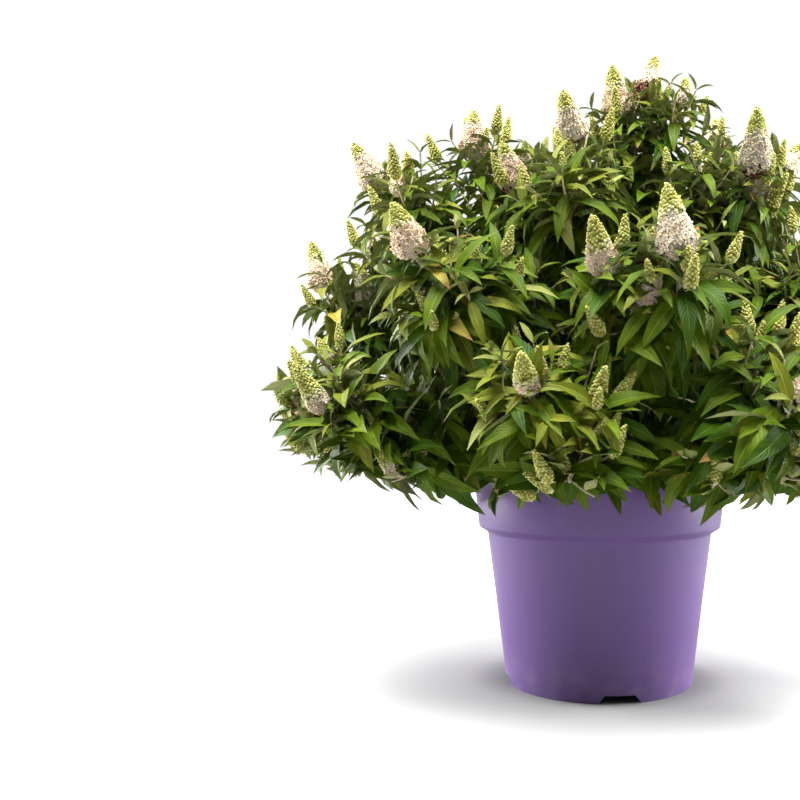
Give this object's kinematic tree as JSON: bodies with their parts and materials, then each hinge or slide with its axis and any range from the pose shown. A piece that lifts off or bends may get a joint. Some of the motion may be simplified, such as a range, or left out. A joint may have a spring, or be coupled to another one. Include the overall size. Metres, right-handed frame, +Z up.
{
  "type": "potted dwarf butterfly bush",
  "caption": "Dome-shaped flowering shrub with drooping lance-shaped leaves and upright cones of white florets, in a plain tapered nursery pot.",
  "frame": {"origin": "middle of the flat disc under the pot that it stands on, at ground level", "axes": "+Z up, -Y towards the front of the plant, +X to its right"},
  "size_m": [0.5959, 0.5524, 0.5758],
  "materials": {
    "pot_plastic": "satin moulded plastic, lilac purple",
    "compost": "damp dark brown compost",
    "bark": "thin grey-brown bark, flaking in strips",
    "foliage": "matt green leaves, pale felted underneath, with white flower heads"
  },
  "bodies": {
    "root": {"pot": "pot_plastic", "compost": "compost", "main_stem": "bark", "bough_top": "bark", "bough_1": "bark", "bough_2": "bark", "bough_3": "bark", "bough_4": "bark", "bough_5": "bark", "branch_top": "bark", "branch_upper_1": "bark", "branch_upper_2": "bark", "branch_upper_3": "bark", "branch_upper_4": "bark", "branch_upper_5": "bark", "branch_upper_6": "bark", "branch_upper_7": "bark", "branch_middle_1": "bark", "branch_middle_2": "bark", "branch_middle_3": "bark", "branch_middle_4": "bark", "branch_middle_5": "bark", "branch_middle_6": "bark", "branch_middle_7": "bark", "branch_middle_8": "bark", "branch_lower_1": "bark", "branch_lower_2": "bark", "branch_lower_3": "bark", "branch_lower_4": "bark", "branch_lower_5": "bark", "branch_lower_6": "bark", "branch_lower_7": "bark", "branch_lower_8": "bark", "branch_lower_9": "bark", "foliage_top": "foliage", "foliage_upper_1": "foliage", "foliage_upper_2": "foliage", "foliage_upper_3": "foliage", "foliage_upper_4": "foliage", "foliage_upper_5": "foliage", "foliage_upper_6": "foliage", "foliage_upper_7": "foliage", "foliage_middle_1": "foliage", "foliage_middle_2": "foliage", "foliage_middle_3": "foliage", "foliage_middle_4": "foliage", "foliage_middle_5": "foliage", "foliage_middle_6": "foliage", "foliage_middle_7": "foliage", "foliage_middle_8": "foliage", "foliage_lower_1": "foliage", "foliage_lower_2": "foliage", "foliage_lower_3": "foliage", "foliage_lower_4": "foliage", "foliage_lower_5": "foliage", "foliage_lower_6": "foliage", "foliage_lower_7": "foliage", "foliage_lower_8": "foliage", "foliage_lower_9": "foliage"}
  },
  "joints": []
}
